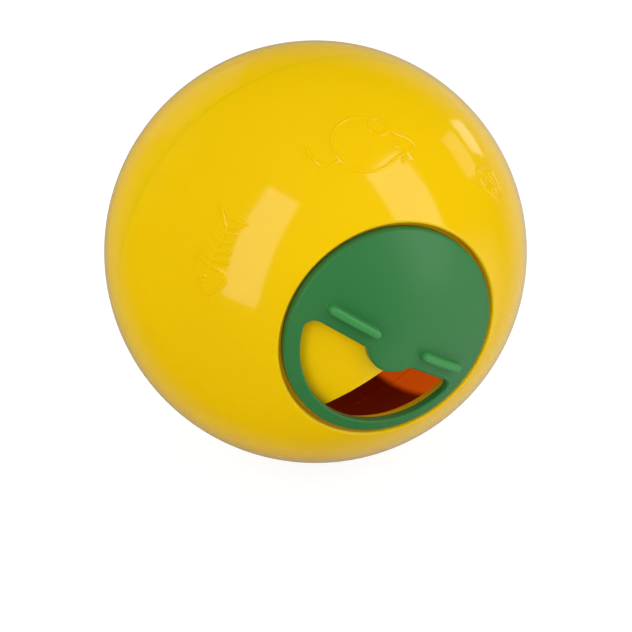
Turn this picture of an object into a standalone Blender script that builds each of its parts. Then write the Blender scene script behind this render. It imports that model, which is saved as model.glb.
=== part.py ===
"""Treat ball: a hollow ball of two half shells, with a shutter that turns over its port.

Metres, +Z up. The ball stands on the plane z = 0 with its centre above the origin, and
its shutter looks along -Y. Each piece is drawn in a working frame that has the ball's
centre as its origin and the shutter's axis as its +Z, and is then laid into the world.
"""
import math

import bmesh
import bpy

# Ball
BALL_RADIUS = 0.0375
WALL = 0.0022
FIT_GAP = 0.0003
CUT_OVERRUN = 0.001

# Lap joint between the half shells
TONGUE_LENGTH = 0.0025

# Shutter, a dished disc that lies flush in a pocket of the front shell
DISC_RADIUS = 0.0192
DISC_THICKNESS = 0.0016
DISC_EDGE_CHAMFER = 0.0005
RIM_WIDTH = 0.0024
WINDOW_OFFSET = 0.0032
HUB_REACH = 0.0025
WINDOW_FILLET = 0.0015
WINDOW_CORNER = 0.0018

# Finger ridges on the shutter
RIDGE_START = 0.0049
RIDGE_END_MARGIN = 0.0043
RIDGE_WIDTH = 0.0017
RIDGE_HEIGHT = 0.0018
RIDGE_ROUND = 0.0005

# Pocket of the front shell, with the port in its floor
RIM_GAP = 0.0007
MOUTH_CHAMFER = 0.00035
FLOOR_THICKNESS = 0.0018
POCKET_WALL = 0.0018
LEDGE_WIDTH = 0.0017
PORT_WEB = 0.0008
PORT_LOBE_MARGIN = 0.0005
PORT_FILLET = 0.0015
PORT_CORNER = 0.0008

# Snap pivot behind the shutter, and the collar that it turns in
POST_RADIUS = 0.0027
PRONG_WALL = 0.0012
COLLAR_WALL = 0.0015
COLLAR_DEPTH = 0.0022
BARB_HOOK = 0.0004
BARB_LAND = 0.0004
BARB_TAPER = 0.0018
TIP_WALL = 0.0006
SLOT_WIDTH = 0.0009
SLOT_ROOT = 0.0008

# Turns about the shutter's axis, which leave the lower three fifths of the port open
PORT_TURN = math.radians(34.7)
SHUTTER_TURN = math.radians(-34.7)

# Steps of the round shapes, and the angle past which an edge is sharp
SPIN_STEPS = 64
ARC_STEP = math.radians(6.0)
CORNER_STEPS = 4
SHARP_ANGLE = math.radians(30.0)
MERGE_SHARE = 0.02

# Plastics, as linear red, green and blue, and how rough each surface is
YELLOW = (0.871, 0.552, 0.0)
GREEN = (0.040, 0.209, 0.072)
YELLOW_ROUGHNESS = 0.12
GREEN_ROUGHNESS = 0.32

# Sizes that follow from those above
INNER_RADIUS = BALL_RADIUS - WALL
TONGUE_THICKNESS = (WALL - FIT_GAP) / 2
TONGUE_OUTER = INNER_RADIUS + TONGUE_THICKNESS
LIP_INNER = TONGUE_OUTER + FIT_GAP
DISC_BACK = BALL_RADIUS - DISC_THICKNESS
FLOOR_OUTER = DISC_BACK - FIT_GAP
FLOOR_INNER = FLOOR_OUTER - FLOOR_THICKNESS
POCKET_RADIUS = DISC_RADIUS + RIM_GAP
HOLE_RADIUS = POST_RADIUS + FIT_GAP
COLLAR_RADIUS = HOLE_RADIUS + COLLAR_WALL
BORE_RADIUS = POST_RADIUS - PRONG_WALL
BARB_RADIUS = HOLE_RADIUS + BARB_HOOK


def height_on_sphere(sphere, radius):
    """Height of a sphere's surface above its centre plane, at a distance from the axis."""
    return math.sqrt(sphere * sphere - radius * radius)


COLLAR_END = height_on_sphere(FLOOR_INNER, COLLAR_RADIUS) - COLLAR_DEPTH
BARB_TOP = COLLAR_END - FIT_GAP
POST_ROOT = height_on_sphere(DISC_BACK, POST_RADIUS)
POST_TIP = BARB_TOP - BARB_LAND - BARB_TAPER


def clear_scene():
    """Take every object out of the open file."""
    for item in list(bpy.data.objects):
        bpy.data.objects.remove(item, do_unlink=True)


def plastic(name, color, roughness):
    """A moulded plastic, coloured all through."""
    material = bpy.data.materials.new(name)
    material.use_nodes = True
    shader = material.node_tree.nodes["Principled BSDF"]
    shader.inputs["Base Color"].default_value = (*color, 1.0)
    shader.inputs["Roughness"].default_value = roughness
    shader.inputs["Metallic"].default_value = 0.0
    material.diffuse_color = (*color, 1.0)
    return material


def add_object(name, mesh, material):
    """Put a mesh into the scene as a named object, with its round faces smooth."""
    item = bpy.data.objects.new(name, mesh)
    bpy.context.scene.collection.objects.link(item)
    mesh.materials.append(material)
    mesh.shade_smooth()
    mesh.set_sharp_from_angle(angle=SHARP_ANGLE)
    return item


def add_cutter(name, mesh, parent):
    """Put a helper shape into the scene, which shows as wire and isn't a piece."""
    item = bpy.data.objects.new(name, mesh)
    bpy.context.scene.collection.objects.link(item)
    item.parent = parent
    item.display_type = "WIRE"
    item.hide_render = True
    return item


def add_boolean(item, other, operation):
    """Join another shape to an object, or cut it away, with a live modifier."""
    modifier = item.modifiers.new(other.name, "BOOLEAN")
    modifier.object = other
    modifier.operation = operation
    modifier.solver = "EXACT"


def sphere_arc(sphere, start_radius, end_radius):
    """Profile points on the upper half of a sphere, between two distances from the axis."""
    start = math.asin(start_radius / sphere)
    end = math.asin(end_radius / sphere)
    steps = max(1, math.ceil(abs(end - start) / ARC_STEP))
    angles = [start + (end - start) * step / steps for step in range(steps + 1)]
    return [(sphere * math.sin(angle), sphere * math.cos(angle)) for angle in angles]


def flat_arc(center, radius, start, end, steps):
    """Outline points of a circular arc in the plane across the axis."""
    angles = [start + (end - start) * step / steps for step in range(steps + 1)]
    return [
        (center[0] + radius * math.cos(angle), center[1] + radius * math.sin(angle))
        for angle in angles
    ]


def turned_mesh(name, profile):
    """Spin a closed profile of (radius, height) points once round the axis."""
    shape = bmesh.new()
    points = [shape.verts.new((radius, 0, height)) for radius, height in profile]
    edges = [
        shape.edges.new((points[index - 1], points[index]))
        for index in range(len(points))
        if profile[index - 1][0] > 0 or profile[index][0] > 0
    ]
    bmesh.ops.spin(
        shape,
        geom=points + edges,
        cent=(0, 0, 0),
        axis=(0, 0, 1),
        angle=math.tau,
        steps=SPIN_STEPS,
        use_merge=True,
    )
    bmesh.ops.remove_doubles(shape, verts=shape.verts, dist=FIT_GAP * MERGE_SHARE)
    bmesh.ops.recalc_face_normals(shape, faces=shape.faces)
    return finished_mesh(name, shape)


def layered_mesh(name, rings):
    """Skin a stack of outlines with as many points each, from the lowest to the highest."""
    shape = bmesh.new()
    loops = [[shape.verts.new(point) for point in ring] for ring in rings]
    for low, high in zip(loops, loops[1:]):
        for index in range(len(low)):
            shape.faces.new((low[index - 1], low[index], high[index], high[index - 1]))
    caps = [shape.faces.new(loops[0][::-1]), shape.faces.new(loops[-1])]
    bmesh.ops.triangulate(shape, faces=caps)
    bmesh.ops.recalc_face_normals(shape, faces=shape.faces)
    return finished_mesh(name, shape)


def finished_mesh(name, shape):
    """Turn a bmesh into a mesh and free it."""
    mesh = bpy.data.meshes.new(name)
    shape.to_mesh(mesh)
    shape.free()
    return mesh


def prism(name, outline, low, high):
    """A straight prism over an outline, between two heights."""
    rings = [[(x, y, height) for x, y in outline] for height in (low, high)]
    return layered_mesh(name, rings)


def opening_outline(outer, offset, lobe, fillet, corner):
    """Half round opening below a chord, with a lobe left standing round the axis.

    The chord lies the offset below the axis. The lobe meets it in fillets, and the
    chord meets the outer arc in rounded corners.
    """
    corner_center = (math.sqrt((outer - corner) ** 2 - (offset + corner) ** 2), -offset - corner)
    fillet_center = (math.sqrt((lobe + fillet) ** 2 - (offset + fillet) ** 2), -offset - fillet)
    corner_angle = math.atan2(corner_center[1], corner_center[0])
    fillet_angle = math.atan2(fillet_center[1], fillet_center[0])
    bottom = -math.pi / 2
    top = math.pi / 2
    outer_steps = math.ceil((corner_angle - bottom) / ARC_STEP)
    lobe_steps = 2 * CORNER_STEPS
    half = flat_arc((0, 0), outer, bottom, corner_angle, outer_steps)
    half += flat_arc(corner_center, corner, corner_angle, top, CORNER_STEPS)[1:]
    half += flat_arc(fillet_center, fillet, top, fillet_angle + math.pi, CORNER_STEPS)
    half += flat_arc((0, 0), lobe, fillet_angle, bottom, lobe_steps)[1:]
    mirrored = [(-x, y) for x, y in half[-2:0:-1]]
    return half + mirrored


def turned_outline(outline, turn):
    """An outline turned about the axis."""
    cosine = math.cos(turn)
    sine = math.sin(turn)
    return [(x * cosine - y * sine, x * sine + y * cosine) for x, y in outline]


def front_shell_profile():
    """Half section of the front shell: dome, pocket, collar and tongue."""
    mouth_radius = POCKET_RADIUS + MOUTH_CHAMFER
    mouth_height = height_on_sphere(BALL_RADIUS, mouth_radius)
    tub_radius = POCKET_RADIUS + POCKET_WALL
    profile = sphere_arc(BALL_RADIUS, BALL_RADIUS, mouth_radius)
    profile.append((POCKET_RADIUS, mouth_height - MOUTH_CHAMFER))
    profile += sphere_arc(FLOOR_OUTER, POCKET_RADIUS, HOLE_RADIUS)
    profile += [(HOLE_RADIUS, COLLAR_END), (COLLAR_RADIUS, COLLAR_END)]
    profile += sphere_arc(FLOOR_INNER, COLLAR_RADIUS, tub_radius)
    profile += sphere_arc(INNER_RADIUS, tub_radius, INNER_RADIUS)
    profile += [(INNER_RADIUS, -TONGUE_LENGTH), (TONGUE_OUTER, -TONGUE_LENGTH)]
    profile.append((TONGUE_OUTER, 0))
    return profile


def rear_shell_profile():
    """Half section of the rear shell, drawn with its dome up: the lip laps the tongue."""
    step_height = TONGUE_LENGTH + FIT_GAP
    lip_radius = height_on_sphere(BALL_RADIUS, FIT_GAP)
    step_radius = height_on_sphere(INNER_RADIUS, step_height)
    profile = sphere_arc(BALL_RADIUS, lip_radius, 0)
    profile += sphere_arc(INNER_RADIUS, 0, step_radius)
    profile += [(LIP_INNER, step_height), (LIP_INNER, FIT_GAP)]
    return profile


def shutter_profile():
    """Half section of the shutter: dished disc and hollow post with its barb."""
    face_radius = DISC_RADIUS - DISC_EDGE_CHAMFER
    face_height = height_on_sphere(BALL_RADIUS, face_radius)
    profile = sphere_arc(BALL_RADIUS, 0, face_radius)
    profile.append((DISC_RADIUS, face_height - DISC_EDGE_CHAMFER))
    profile += sphere_arc(DISC_BACK, DISC_RADIUS, POST_RADIUS)
    profile += [(POST_RADIUS, BARB_TOP), (BARB_RADIUS, BARB_TOP)]
    profile.append((BARB_RADIUS, BARB_TOP - BARB_LAND))
    profile += [(BORE_RADIUS + TIP_WALL, POST_TIP), (BORE_RADIUS, POST_TIP)]
    profile += [(BORE_RADIUS, POST_ROOT), (0, POST_ROOT)]
    return profile


def ridge_mesh(name, direction):
    """A finger ridge: a round ended bar on the disc, its top following the dome."""
    half_width = RIDGE_WIDTH / 2
    inner_end = RIDGE_START + half_width
    outer_end = DISC_RADIUS - RIDGE_END_MARGIN - half_width
    sunk = BALL_RADIUS - DISC_THICKNESS / 2
    layers = (
        (sunk, half_width),
        (BALL_RADIUS + RIDGE_HEIGHT - RIDGE_ROUND, half_width),
        (BALL_RADIUS + RIDGE_HEIGHT, half_width - RIDGE_ROUND),
    )
    rings = []
    for sphere, reach in layers:
        outline = ridge_outline(inner_end, outer_end, reach)
        rings.append([
            (direction * x, direction * y, height_on_sphere(sphere, math.hypot(x, y)))
            for x, y in outline
        ])
    return layered_mesh(name, rings)


def ridge_outline(inner_end, outer_end, reach):
    """Plan of a ridge: two straight sides, a few steps long, and two round ends."""
    quarter = math.pi / 2
    straight_steps = math.ceil((outer_end - inner_end) / BALL_RADIUS / ARC_STEP)
    outline = flat_arc((outer_end, 0), reach, -quarter, quarter, 2 * CORNER_STEPS)
    for step in range(1, straight_steps):
        outline.append((outer_end + (inner_end - outer_end) * step / straight_steps, reach))
    outline += flat_arc((inner_end, 0), reach, quarter, 3 * quarter, 2 * CORNER_STEPS)
    for step in range(1, straight_steps):
        outline.append((inner_end + (outer_end - inner_end) * step / straight_steps, -reach))
    return outline


def slot_mesh(name, turn):
    """One of the two crossing slots that part the post into four prongs."""
    length = BARB_RADIUS + CUT_OVERRUN
    half_width = SLOT_WIDTH / 2
    corners = [(-length, -half_width), (length, -half_width), (length, half_width), (-length, half_width)]
    top = POST_ROOT - SLOT_ROOT
    return prism(name, turned_outline(corners, turn), POST_TIP - CUT_OVERRUN, top)


def make_front_shell(material):
    """Front half of the ball, with the pocket and the port in its floor."""
    shell = add_object("front_shell", turned_mesh("front_shell", front_shell_profile()), material)
    port_outer = POCKET_RADIUS - LEDGE_WIDTH
    outline = opening_outline(
        outer=port_outer,
        offset=HOLE_RADIUS + PORT_WEB,
        lobe=COLLAR_RADIUS + PORT_LOBE_MARGIN,
        fillet=PORT_FILLET,
        corner=PORT_CORNER,
    )
    low = height_on_sphere(FLOOR_INNER, port_outer) - CUT_OVERRUN
    mesh = prism("port_cutter", turned_outline(outline, PORT_TURN), low, BALL_RADIUS)
    add_boolean(shell, add_cutter("port_cutter", mesh, shell), "DIFFERENCE")
    return shell


def make_rear_shell(material):
    """Rear half of the ball, a plain dome whose lip laps over the front shell's tongue."""
    return add_object("rear_shell", turned_mesh("rear_shell", rear_shell_profile()), material)


def make_shutter(material):
    """The shutter: disc, window, hub, finger ridges and snap post, moulded in one."""
    shutter = add_object("shutter_disc", turned_mesh("shutter_disc", shutter_profile()), material)
    outline = opening_outline(
        outer=DISC_RADIUS - RIM_WIDTH,
        offset=WINDOW_OFFSET,
        lobe=WINDOW_OFFSET + HUB_REACH,
        fillet=WINDOW_FILLET,
        corner=WINDOW_CORNER,
    )
    low = height_on_sphere(DISC_BACK, DISC_RADIUS)
    mesh = prism("window_cutter", outline, low - CUT_OVERRUN, BALL_RADIUS + CUT_OVERRUN)
    add_boolean(shutter, add_cutter("window_cutter", mesh, shutter), "DIFFERENCE")
    for name, turn in (("slot_cutter_a", math.pi / 4), ("slot_cutter_b", -math.pi / 4)):
        add_boolean(shutter, add_cutter(name, slot_mesh(name, turn), shutter), "DIFFERENCE")
    for name, direction in (("ridge_a", 1), ("ridge_b", -1)):
        add_boolean(shutter, add_cutter(name, ridge_mesh(name, direction), shutter), "UNION")
    return shutter


def add_axis_empty(name):
    """A frame at the ball's centre, with its +Z along the shutter's axis, world -Y."""
    empty = bpy.data.objects.new(name, None)
    bpy.context.scene.collection.objects.link(empty)
    empty.location = (0, 0, BALL_RADIUS)
    empty.rotation_euler = (math.pi / 2, 0, 0)
    return empty


def build():
    """Make every piece and lay it into the world."""
    clear_scene()
    yellow = plastic("yellow_gloss", YELLOW, YELLOW_ROUGHNESS)
    green = plastic("green_satin", GREEN, GREEN_ROUGHNESS)
    ball_frame = add_axis_empty("ball_frame")
    shutter_frame = add_axis_empty("shutter_axis")
    front = make_front_shell(yellow)
    rear = make_rear_shell(yellow)
    shutter = make_shutter(green)
    front.parent = ball_frame
    rear.parent = ball_frame
    rear.rotation_euler = (math.pi, 0, 0)
    shutter.parent = shutter_frame
    shutter.rotation_euler = (0, 0, SHUTTER_TURN)
    bpy.context.view_layer.update()


build()
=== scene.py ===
# %% [markdown]
# This lesson dresses a measured model of a treat ball: a hollow yellow plastic ball, as wide as a
# fist, with a green shutter that turns over a half round port. The measured model is loaded first
# and stays as it is. Every shape that is made here takes its size and its place from it.

# %% Load the measured model
import math

import bpy
from mathutils import Matrix, Vector


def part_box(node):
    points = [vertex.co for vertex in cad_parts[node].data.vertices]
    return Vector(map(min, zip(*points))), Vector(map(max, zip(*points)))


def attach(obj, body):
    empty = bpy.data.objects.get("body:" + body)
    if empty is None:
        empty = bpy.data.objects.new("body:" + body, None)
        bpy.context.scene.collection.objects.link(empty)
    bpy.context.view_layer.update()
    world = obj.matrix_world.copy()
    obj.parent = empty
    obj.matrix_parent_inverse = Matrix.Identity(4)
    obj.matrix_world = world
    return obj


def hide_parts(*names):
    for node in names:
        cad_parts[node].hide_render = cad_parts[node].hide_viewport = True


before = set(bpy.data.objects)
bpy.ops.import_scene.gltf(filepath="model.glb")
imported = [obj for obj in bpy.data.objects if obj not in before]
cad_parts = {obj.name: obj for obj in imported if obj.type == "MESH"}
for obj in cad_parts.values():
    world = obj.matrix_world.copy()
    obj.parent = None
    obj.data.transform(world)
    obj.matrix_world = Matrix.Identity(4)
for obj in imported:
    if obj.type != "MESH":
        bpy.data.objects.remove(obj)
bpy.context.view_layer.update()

# %% [markdown]
# The ball's radius and the shutter's radius are read from the loaded pieces, so that a changed
# model changes this scene too. The other sizes are those of the moulded parts, in metres: the
# wall, the pocket that the shutter lies in, the port in its floor, and the snap post.

# %% Sizes of the moulded pieces
shell_low, shell_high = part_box("front_shell")
shutter_low, shutter_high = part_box("shutter_disc")
BALL_RADIUS = (shell_high.x - shell_low.x) / 2
BALL_CENTER = Vector((0.0, 0.0, BALL_RADIUS))
DISC_RADIUS = (shutter_high.x - shutter_low.x) / 2
WALL = 0.0022
DISC_THICKNESS = 0.0016
FIT_GAP = 0.0003
RIM_GAP = 0.0007
FLOOR_THICKNESS = 0.0018
POCKET_WALL = 0.0018
TONGUE_LENGTH = 0.0025
POST_RADIUS = 0.0027
BORE_RADIUS = 0.0015
COLLAR_WALL = 0.0015
COLLAR_DEPTH = 0.0022
BARB_HOOK = 0.0004
BARB_LAND = 0.0004
BARB_TAPER = 0.0018
TIP_WALL = 0.0006
SLOT_WIDTH = 0.0009
SLOT_ROOT = 0.0008

INNER_RADIUS = BALL_RADIUS - WALL
DISC_BACK = BALL_RADIUS - DISC_THICKNESS
FLOOR_OUTER = DISC_BACK - FIT_GAP
FLOOR_INNER = FLOOR_OUTER - FLOOR_THICKNESS
POCKET_RADIUS = DISC_RADIUS + RIM_GAP
HOLE_RADIUS = POST_RADIUS + FIT_GAP
COLLAR_RADIUS = HOLE_RADIUS + COLLAR_WALL
BARB_RADIUS = HOLE_RADIUS + BARB_HOOK

PORT_TURN = math.radians(34.7)
SHUTTER_TURN = math.radians(-34.7)
print("ball radius", round(BALL_RADIUS, 5), "shutter radius", round(DISC_RADIUS, 5))

# %% [markdown]
# Mesh operators act on whatever is selected, and loading the model leaves it selected. So each
# step starts from a clean selection, and picks the one object that it works on.

# %% Selecting and editing
MERGE_DISTANCE = 0.000004


def deselect_all():
    """Leave no object selected."""
    for item in list(bpy.context.selected_objects):
        item.select_set(False)


def pick(item):
    """Make one object the only selected and the active one."""
    deselect_all()
    item.select_set(True)
    bpy.context.view_layer.objects.active = item


def open_edit(item, kind="VERT"):
    """Open an object in edit mode with all of it selected."""
    pick(item)
    bpy.ops.object.mode_set(mode="EDIT")
    bpy.ops.mesh.select_mode(type=kind)
    bpy.ops.mesh.select_all(action="SELECT")


def close_edit():
    """Go back to object mode."""
    bpy.ops.object.mode_set(mode="OBJECT")


def select_faces(item, test):
    """Open an object in edit mode with only those faces selected that pass a test."""
    open_edit(item, "FACE")
    bpy.ops.mesh.select_all(action="DESELECT")
    close_edit()
    for face in item.data.polygons:
        face.select = test(face)
    bpy.ops.object.mode_set(mode="EDIT")


def apply_place(item):
    """Write an object's place and turn into its mesh."""
    pick(item)
    bpy.ops.object.transform_apply(location=True, rotation=True, scale=True)


def apply_modifiers(item):
    """Apply an object's modifiers in their order."""
    pick(item)
    for modifier in list(item.modifiers):
        bpy.ops.object.modifier_apply(modifier=modifier.name)


def measure(item):
    """Print how many faces an object has and how many of its edges are open."""
    counts = {}
    for face in item.data.polygons:
        for key in face.edge_keys:
            counts[key] = counts.get(key, 0) + 1
    loose = sum(1 for count in counts.values() if count != 2)
    print(item.name, "has", len(item.data.polygons), "faces and", loose, "open edges")


# %% [markdown]
# The shells and the shutter are round, so each is a section spun about its axis, as on a lathe.
# The section is drawn the way it is drawn by hand: a plane is merged to one point, and the point
# is extruded from corner to corner. All of it is drawn round the shutter's axis standing upright,
# with the ball's centre as the origin, and is laid into place at the end.

# %% Drawing and spinning a section
SPIN_STEPS = 192
ARC_STEP = math.radians(1.25)


def draw_line(name, points):
    """A chain of edges through the points, extruded from a single vertex."""
    deselect_all()
    bpy.ops.mesh.primitive_plane_add(size=BALL_RADIUS)
    line = bpy.context.object
    line.name = name
    open_edit(line)
    bpy.ops.mesh.merge(type="CENTER")
    bpy.ops.transform.translate(value=points[0])
    for start, end in zip(points, points[1:]):
        step = Vector(end) - Vector(start)
        bpy.ops.mesh.extrude_region_move(TRANSFORM_OT_translate={"value": step})
    bpy.ops.mesh.select_all(action="SELECT")
    bpy.ops.mesh.remove_doubles(threshold=MERGE_DISTANCE)
    close_edit()
    return line


def spin_section(name, section):
    """Spin a section of (radius, height) points once round the upright axis."""
    piece = draw_line(name, [(radius, 0.0, height) for radius, height in section])
    open_edit(piece)
    bpy.ops.mesh.spin(steps=SPIN_STEPS, angle=math.tau, center=(0, 0, 0), axis=(0, 0, 1))
    bpy.ops.mesh.select_all(action="SELECT")
    bpy.ops.mesh.remove_doubles(threshold=MERGE_DISTANCE)
    bpy.ops.mesh.normals_make_consistent(inside=False)
    close_edit()
    measure(piece)
    return piece


def arc(center, radius, start, end, step):
    """Points of an arc from one angle to another, ends included."""
    count = max(2, math.ceil(abs(end - start) / step))
    angles = [start + (end - start) * index / count for index in range(count + 1)]
    return [(center[0] + radius * math.cos(a), center[1] + radius * math.sin(a)) for a in angles]


def dome_height(sphere, radius):
    """Height of a sphere's surface over the ball's centre, at a distance from the axis."""
    return math.sqrt(sphere * sphere - radius * radius)


def dome_arc(sphere, start_radius, end_radius):
    """Section points on a sphere, between two distances from the axis."""
    start = math.acos(start_radius / sphere)
    end = math.acos(end_radius / sphere)
    return arc((0.0, 0.0), sphere, start, end, ARC_STEP)


# %% [markdown]
# The front shell is the half of the ball that holds the shutter. Its section runs from the seam
# over the dome, round the soft lip of the pocket, down to the pocket's floor, through the collar
# for the pivot, and back along the inside to the tongue of the lap joint. The lip is a true
# quarter round that starts as a tangent of the dome, because a hard edge would catch no light.

# %% The front shell's section
LIP_ROUND = 0.00045
LIP_STEP = math.radians(14.0)
SEAM_GAP = 0.00002
LAP_GAP = 0.00001
TONGUE_OUTER = INNER_RADIUS + (WALL - LAP_GAP) / 2
COLLAR_END = dome_height(FLOOR_INNER, COLLAR_RADIUS) - COLLAR_DEPTH


def front_shell_section():
    """Section of the front shell, which ends where it starts."""
    lip_radius = POCKET_RADIUS + LIP_ROUND
    lip_height = dome_height(BALL_RADIUS - LIP_ROUND, lip_radius)
    lip_angle = math.atan2(lip_height, lip_radius)
    tub_radius = POCKET_RADIUS + POCKET_WALL
    section = arc((0.0, 0.0), BALL_RADIUS, 0.0, lip_angle, ARC_STEP)
    section += arc((lip_radius, lip_height), LIP_ROUND, lip_angle, math.pi, LIP_STEP)
    section += dome_arc(FLOOR_OUTER, POCKET_RADIUS, HOLE_RADIUS)
    section += [(HOLE_RADIUS, COLLAR_END), (COLLAR_RADIUS, COLLAR_END)]
    section += dome_arc(FLOOR_INNER, COLLAR_RADIUS, tub_radius)
    section += dome_arc(INNER_RADIUS, tub_radius, INNER_RADIUS)
    section += [(INNER_RADIUS, -TONGUE_LENGTH), (TONGUE_OUTER, -TONGUE_LENGTH)]
    section += [(TONGUE_OUTER, 0.0), (BALL_RADIUS, 0.0)]
    return section


front_shell = spin_section("front_shell_skin", front_shell_section())

# %% [markdown]
# The port and the shutter's window have the same form: a half round below a chord, with a lobe
# left standing round the pivot, and soft corners. Its outline is worked out from arcs. A cutter
# is grown from it: the outline is filled, raised to a slab, and its underside is inset again and
# again along a quarter round, then pushed down as a shaft. The cut so gets a rounded mouth. The
# cutter is bent onto the dome before it cuts, so that the mouth is as deep all the way round.

# %% Cutters with a rounded mouth
OUTLINE_STEP = math.radians(3.0)
CORNER_STEP = math.radians(10.0)
ROUND_COUNT = 5
SLAB_HEIGHT = 0.0005
CUTTER_LIFT = 0.000015
CUT_OVERRUN = 0.001
LEVEL_LIMIT = 0.5


def half_round_outline(outer, offset, lobe, fillet, corner, grow):
    """Outline of a half round opening below a chord, made larger all round by grow."""
    outer, offset, lobe = outer + grow, offset - grow, lobe - grow
    fillet, corner = fillet + grow, corner + grow
    corner_center = (math.sqrt((outer - corner) ** 2 - (offset + corner) ** 2), -offset - corner)
    fillet_center = (math.sqrt((lobe + fillet) ** 2 - (offset + fillet) ** 2), -offset - fillet)
    corner_angle = math.atan2(corner_center[1], corner_center[0])
    fillet_angle = math.atan2(fillet_center[1], fillet_center[0])
    bottom = -math.pi / 2
    top = math.pi / 2
    half = arc((0.0, 0.0), outer, bottom, corner_angle, OUTLINE_STEP)
    half += arc(corner_center, corner, corner_angle, top, CORNER_STEP)[1:]
    half += arc(fillet_center, fillet, top, fillet_angle + math.pi, CORNER_STEP)
    half += arc((0.0, 0.0), lobe, fillet_angle, bottom, CORNER_STEP)[1:]
    mirrored = [(-x, y) for x, y in half[-2:0:-1]]
    return half + mirrored + half[:1]


def inset_along(profile):
    """Inset the selected face once for each (inward, outward) pair of a profile of steps."""
    for (inward, outward), (next_inward, next_outward) in zip(profile, profile[1:]):
        bpy.ops.mesh.inset(thickness=next_inward - inward, depth=next_outward - outward)


def quarter_round(radius, hollow):
    """Profile of a quarter round, hollow as at a foot, or full as at a rounded top."""
    angles = [math.pi / 2 * index / ROUND_COUNT for index in range(ROUND_COUNT + 1)]
    if hollow:
        return [(radius * math.sin(a), radius * (1 - math.cos(a))) for a in angles]
    return [(radius * (1 - math.cos(a)), radius * math.sin(a)) for a in angles]


def opening_cutter(name, outline, mouth_round, sphere, depth):
    """A shaft under a slab, joined by a hollow quarter round and bent onto a dome."""
    cutter = draw_line(name, [(x, y, 0.0) for x, y in outline])
    open_edit(cutter)
    bpy.ops.mesh.edge_face_add()
    bpy.ops.mesh.extrude_region_move(TRANSFORM_OT_translate={"value": (0, 0, SLAB_HEIGHT)})
    bpy.ops.mesh.select_all(action="SELECT")
    bpy.ops.mesh.normals_make_consistent(inside=False)
    select_faces(cutter, lambda face: face.normal.z < -LEVEL_LIMIT)
    inset_along(quarter_round(mouth_round, hollow=True))
    bpy.ops.mesh.extrude_region_move(TRANSFORM_OT_translate={"value": (0, 0, -depth)})
    close_edit()
    bottom = min(vertex.co.z for vertex in cutter.data.vertices)
    for vertex in cutter.data.vertices:
        if vertex.co.z >= SLAB_HEIGHT - MERGE_DISTANCE:
            vertex.co.z = sphere + CUT_OVERRUN
        elif vertex.co.z <= bottom + MERGE_DISTANCE:
            vertex.co.z = dome_height(sphere, DISC_RADIUS) - depth
        else:
            vertex.co.z += dome_height(sphere, vertex.co.xy.length) + CUTTER_LIFT
    measure(cutter)
    return cutter


def combine(item, other, operation):
    """Cut one closed shape with another or join it, and remove the other."""
    pick(item)
    modifier = item.modifiers.new(other.name, "BOOLEAN")
    modifier.object = other
    modifier.operation = operation
    modifier.solver = "EXACT"
    apply_modifiers(item)
    bpy.data.objects.remove(other, do_unlink=True)


# %% [markdown]
# The port is the hole in the pocket's floor. The shutter leaves its lower three fifths open here.
# Its cutter comes out below the floor all round, and meets nothing else there.

# %% The port in the pocket's floor
LEDGE_WIDTH = 0.0017
PORT_WEB = 0.0008
PORT_LOBE_MARGIN = 0.0005
PORT_CORNER = 0.0008
OPENING_FILLET = 0.0015
PORT_MOUTH_ROUND = 0.0002

port_outline = half_round_outline(
    outer=POCKET_RADIUS - LEDGE_WIDTH,
    offset=HOLE_RADIUS + PORT_WEB,
    lobe=COLLAR_RADIUS + PORT_LOBE_MARGIN,
    fillet=OPENING_FILLET,
    corner=PORT_CORNER,
    grow=PORT_MOUTH_ROUND,
)
port_depth = FLOOR_THICKNESS + COLLAR_DEPTH
port_cutter = opening_cutter("port_cutter", port_outline, PORT_MOUTH_ROUND, FLOOR_OUTER, port_depth)
port_cutter.rotation_euler.z = PORT_TURN
apply_place(port_cutter)
combine(front_shell, port_cutter, "DIFFERENCE")
measure(front_shell)

# %% [markdown]
# The rear shell is a plain dome. Its thin lip laps over the front shell's tongue, and the seam
# between the two is a hairline, because such halves are welded. It is spun dome up and then
# turned over.

# %% The rear shell
LIP_INNER = TONGUE_OUTER + LAP_GAP


def rear_shell_section():
    """Section of the rear shell, drawn dome up, from the axis to the seam and back inside."""
    step_height = TONGUE_LENGTH + LAP_GAP
    section = dome_arc(BALL_RADIUS, 0.0, dome_height(BALL_RADIUS, SEAM_GAP))
    section += [(LIP_INNER, SEAM_GAP), (LIP_INNER, step_height)]
    section += dome_arc(INNER_RADIUS, dome_height(INNER_RADIUS, step_height), 0.0)
    return section


rear_shell = spin_section("rear_shell_skin", rear_shell_section())
rear_shell.rotation_euler.x = math.pi
apply_place(rear_shell)

# %% [markdown]
# The front shell carries small raised line drawings, as such toys do: a fish bone, a mouse and a
# piece of cheese. Each drawing is a handful of strokes. A stroke is drawn flat, laid onto the top
# of the ball, turned into a curve that rounds it off, and given a round bead, of which only the
# crown stands out of the wall. The strokes of a drawing are joined to one closed shape. An eye
# is a ring a little wider than the bead, because a narrower one would run through itself.

# %% Beads for the raised drawings
MM = 0.001
BEAD_RADIUS = 0.00045
BEAD_HEIGHT = 0.00016
BEAD_SIDES = 3
BEAD_SMOOTHNESS = 5
EYE_RING = 0.5
EYE_SIDES = 6
ROUND_SIDES = 8
STRAIGHT_CUTS = 5
BEAD_SPHERE = BALL_RADIUS + BEAD_HEIGHT - BEAD_RADIUS


def lay_on_top(item, sphere):
    """Wrap a flat drawing onto the top of a sphere, true to length from its middle."""
    for vertex in item.data.vertices:
        flat = Vector((vertex.co.x, vertex.co.y, 0.0))
        angle = flat.length / sphere
        side = flat.normalized() * math.sin(angle) * sphere
        vertex.co = side + Vector((0.0, 0.0, sphere * math.cos(angle)))


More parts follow.
